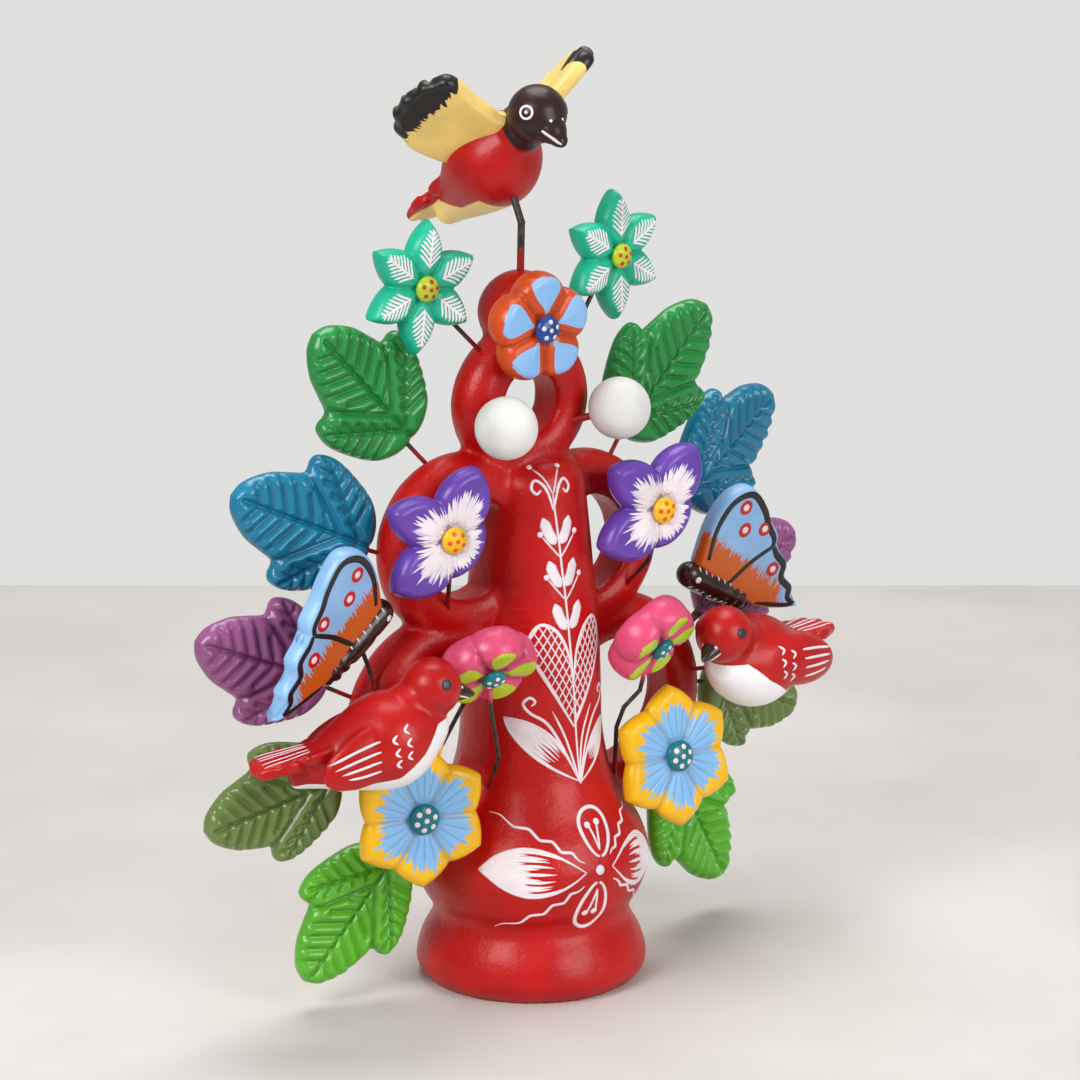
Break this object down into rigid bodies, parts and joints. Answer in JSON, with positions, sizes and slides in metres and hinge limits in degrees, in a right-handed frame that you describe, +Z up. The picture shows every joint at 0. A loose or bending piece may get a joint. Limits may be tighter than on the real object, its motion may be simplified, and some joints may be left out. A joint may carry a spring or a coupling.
{
  "type": "clay tree of life",
  "caption": "Hand-made painted clay tree of life: a hollow belled trunk with looped branches, and leaves, flowers, birds and butterflies on wire stems.",
  "frame": {"origin": "centre of the flat underside of the foot, on the surface that the tree stands on", "axes": "+Z up along the trunk, -Y towards the painted front of the trunk, +X to the right when seen from the front"},
  "size_m": [0.2392, 0.0913, 0.2914],
  "materials": {
    "red_clay": "painted red over fired clay, satin, with white raised line painting",
    "stem_wire": "dark annealed iron wire, partly overpainted",
    "star_paint": "painted teal with white veins and a lime centre",
    "green_leaf_paint": "glossy paint over fired clay",
    "blue_leaf_paint": "glossy paint over fired clay",
    "purple_leaf_paint": "glossy paint over fired clay",
    "olive_leaf_paint": "glossy paint over fired clay",
    "lime_leaf_paint": "glossy paint over fired clay",
    "ball_paint": "matt white paint",
    "violet_paint": "painted violet with white brushed centre",
    "butterfly_paint": "painted light blue with black lines, orange fans and a dark brown body",
    "bird_paint": "painted red with white belly and strokes",
    "pink_flower_paint": "painted pink with lime patches and a teal centre",
    "yellow_flower_paint": "painted yellow with a light blue inside and a teal centre",
    "crown_flower_paint": "painted orange with light blue patches and a cobalt centre",
    "top_bird_paint": "painted red with a dark brown head and yellow and black wings"
  },
  "bodies": {
    "clay_tree": {"trunk": "red_clay", "crown_ring": "red_clay", "crown_flower": "crown_flower_paint", "middle_branch_left": "red_clay", "middle_branch_right": "red_clay", "lower_branch_left": "red_clay", "lower_branch_right": "red_clay"},
    "star_left": {"star_left": "star_paint", "star_stem_left": "stem_wire"},
    "green_leaf_left": {"green_leaf_left": "green_leaf_paint", "green_leaf_stem_left": "stem_wire"},
    "blue_leaf_left": {"blue_leaf_left": "blue_leaf_paint", "blue_leaf_stem_left": "stem_wire"},
    "purple_leaf_left": {"purple_leaf_left": "purple_leaf_paint", "purple_leaf_stem_left": "stem_wire"},
    "olive_leaf_left": {"olive_leaf_left": "olive_leaf_paint", "olive_leaf_stem_left": "stem_wire"},
    "lime_leaf_left": {"lime_leaf_left": "lime_leaf_paint", "lime_leaf_stem_left": "stem_wire"},
    "ball_left": {"ball_left": "ball_paint", "ball_stem_left": "stem_wire"},
    "violet_left": {"violet_left": "violet_paint", "violet_stem_left": "stem_wire"},
    "butterfly_left": {"butterfly_left": "butterfly_paint", "butterfly_stem_left": "stem_wire"},
    "bird_left": {"bird_left": "bird_paint", "bird_stem_left": "stem_wire"},
    "pink_flower_left": {"pink_flower_left": "pink_flower_paint", "pink_flower_stem_left": "stem_wire"},
    "yellow_flower_left": {"yellow_flower_left": "yellow_flower_paint", "yellow_flower_stem_left": "stem_wire"},
    "star_right": {"star_right": "star_paint", "star_stem_right": "stem_wire"},
    "green_leaf_right": {"green_leaf_right": "green_leaf_paint", "green_leaf_stem_right": "stem_wire"},
    "blue_leaf_right": {"blue_leaf_right": "blue_leaf_paint", "blue_leaf_stem_right": "stem_wire"},
    "purple_leaf_right": {"purple_leaf_right": "purple_leaf_paint", "purple_leaf_stem_right": "stem_wire"},
    "olive_leaf_right": {"olive_leaf_right": "olive_leaf_paint", "olive_leaf_stem_right": "stem_wire"},
    "lime_leaf_right": {"lime_leaf_right": "lime_leaf_paint", "lime_leaf_stem_right": "stem_wire"},
    "ball_right": {"ball_right": "ball_paint", "ball_stem_right": "stem_wire"},
    "violet_right": {"violet_right": "violet_paint", "violet_stem_right": "stem_wire"},
    "butterfly_right": {"butterfly_right": "butterfly_paint", "butterfly_stem_right": "stem_wire"},
    "bird_right": {"bird_right": "bird_paint", "bird_stem_right": "stem_wire"},
    "pink_flower_right": {"pink_flower_right": "pink_flower_paint", "pink_flower_stem_right": "stem_wire"},
    "yellow_flower_right": {"yellow_flower_right": "yellow_flower_paint", "yellow_flower_stem_right": "stem_wire"},
    "top_bird": {"top_bird": "top_bird_paint", "top_bird_stem": "stem_wire"}
  },
  "joints": [
    {"name": "star_left_swivel", "type": "hinge", "parent": "clay_tree", "child": "star_left", "pos_m": [-0.0203, -0.0009, 0.2048], "axis": [-0.7048, 0.0339, 0.7086], "range_deg": [-4, 4]},
    {"name": "green_leaf_left_swivel", "type": "hinge", "parent": "clay_tree", "child": "green_leaf_left", "pos_m": [-0.0365, 0.005, 0.1703], "axis": [-0.6053, 0.2737, 0.7474], "range_deg": [-3, 3]},
    {"name": "blue_leaf_left_swivel", "type": "hinge", "parent": "clay_tree", "child": "blue_leaf_left", "pos_m": [-0.0562, 0.0033, 0.1455], "axis": [-0.9047, 0.2262, 0.3609], "range_deg": [-10, 10]},
    {"name": "purple_leaf_left_swivel", "type": "hinge", "parent": "clay_tree", "child": "purple_leaf_left", "pos_m": [-0.066, 0.004, 0.101], "axis": [-0.8688, 0.1975, 0.4541], "range_deg": [-10, 10]},
    {"name": "olive_leaf_left_swivel", "type": "hinge", "parent": "clay_tree", "child": "olive_leaf_left", "pos_m": [-0.0647, 0.0044, 0.0766], "axis": [-0.9475, 0.2519, -0.1972], "range_deg": [-15, 15]},
    {"name": "lime_leaf_left_swivel", "type": "hinge", "parent": "clay_tree", "child": "lime_leaf_left", "pos_m": [-0.046, 0.0035, 0.0577], "axis": [-0.4915, 0.2457, -0.8355], "range_deg": [-15, 15]},
    {"name": "ball_left_swivel", "type": "hinge", "parent": "clay_tree", "child": "ball_left", "pos_m": [-0.0175, -0.0082, 0.1805], "axis": [-0.4777, -0.8305, 0.2866], "continuous": true},
    {"name": "violet_left_swivel", "type": "hinge", "parent": "clay_tree", "child": "violet_left", "pos_m": [-0.038, -0.008, 0.128], "axis": [-0.2592, -0.4319, 0.8639], "range_deg": [-6, 6]},
    {"name": "butterfly_left_swivel", "type": "hinge", "parent": "clay_tree", "child": "butterfly_left", "pos_m": [-0.0636, -0.0057, 0.1041], "axis": [-0.4284, -0.2618, 0.8648], "range_deg": [-6, 6]},
    {"name": "bird_left_swivel", "type": "hinge", "parent": "clay_tree", "child": "bird_left", "pos_m": [-0.0625, -0.0078, 0.0921], "axis": [-0.5192, -0.8445, 0.1315], "range_deg": [-5, 5]},
    {"name": "pink_flower_left_swivel", "type": "hinge", "parent": "clay_tree", "child": "pink_flower_left", "pos_m": [-0.0233, -0.0098, 0.0677], "axis": [-0.1797, -0.5457, 0.8185], "range_deg": [-4, 4]},
    {"name": "yellow_flower_left_swivel", "type": "hinge", "parent": "clay_tree", "child": "yellow_flower_left", "pos_m": [-0.0205, 0.003, 0.097], "axis": [-0.7708, -0.5349, -0.3461], "range_deg": [-8, 8]},
    {"name": "star_right_swivel", "type": "hinge", "parent": "clay_tree", "child": "star_right", "pos_m": [0.0146, 0.0006, 0.202], "axis": [0.6893, 0.2629, 0.6751], "range_deg": [-15, 15]},
    {"name": "green_leaf_right_swivel", "type": "hinge", "parent": "clay_tree", "child": "green_leaf_right", "pos_m": [0.0326, 0.0025, 0.1631], "axis": [0.688, 0.231, 0.688], "range_deg": [-8, 8]},
    {"name": "blue_leaf_right_swivel", "type": "hinge", "parent": "clay_tree", "child": "blue_leaf_right", "pos_m": [0.046, 0.004, 0.142], "axis": [0.9409, 0.1723, 0.2916], "range_deg": [-8, 8]},
    {"name": "purple_leaf_right_swivel", "type": "hinge", "parent": "clay_tree", "child": "purple_leaf_right", "pos_m": [0.06, 0.004, 0.098], "axis": [0.8953, 0.1599, 0.4157], "range_deg": [-8, 8]},
    {"name": "olive_leaf_right_swivel", "type": "hinge", "parent": "clay_tree", "child": "olive_leaf_right", "pos_m": [0.063, 0.004, 0.084], "axis": [0.9469, 0.2058, -0.247], "range_deg": [-12, 12]},
    {"name": "lime_leaf_right_swivel", "type": "hinge", "parent": "clay_tree", "child": "lime_leaf_right", "pos_m": [0.048, 0.003, 0.058], "axis": [0.8107, 0.2252, -0.5405], "range_deg": [-15, 15]},
    {"name": "ball_right_swivel", "type": "hinge", "parent": "clay_tree", "child": "ball_right", "pos_m": [0.011, -0.008, 0.18], "axis": [0.7169, -0.6425, 0.2705], "continuous": true},
    {"name": "violet_right_swivel", "type": "hinge", "parent": "clay_tree", "child": "violet_right", "pos_m": [0.032, -0.008, 0.124], "axis": [0.0705, -0.7053, 0.7053], "range_deg": [-7, 7]},
    {"name": "butterfly_right_swivel", "type": "hinge", "parent": "clay_tree", "child": "butterfly_right", "pos_m": [0.055, -0.006, 0.104], "axis": [0.5937, -0.2545, 0.7634], "range_deg": [-5, 5]},
    {"name": "bird_right_swivel", "type": "hinge", "parent": "clay_tree", "child": "bird_right", "pos_m": [0.058, -0.007, 0.091], "axis": [0.5663, -0.7996, 0.1999], "range_deg": [-4, 4]},
    {"name": "pink_flower_right_swivel", "type": "hinge", "parent": "clay_tree", "child": "pink_flower_right", "pos_m": [0.023, -0.0134, 0.0645], "axis": [-0.1455, -0.2386, 0.9602], "range_deg": [-3, 3]},
    {"name": "yellow_flower_right_swivel", "type": "hinge", "parent": "clay_tree", "child": "yellow_flower_right", "pos_m": [0.043, -0.007, 0.0625], "axis": [-0.2841, -0.8808, 0.3788], "range_deg": [-6, 6]},
    {"name": "top_bird_swivel", "type": "hinge", "parent": "clay_tree", "child": "top_bird", "pos_m": [-0.0044, -0.0005, 0.2278], "axis": [0, -0.0329, 0.9995], "range_deg": [-40, 40]}
  ]
}
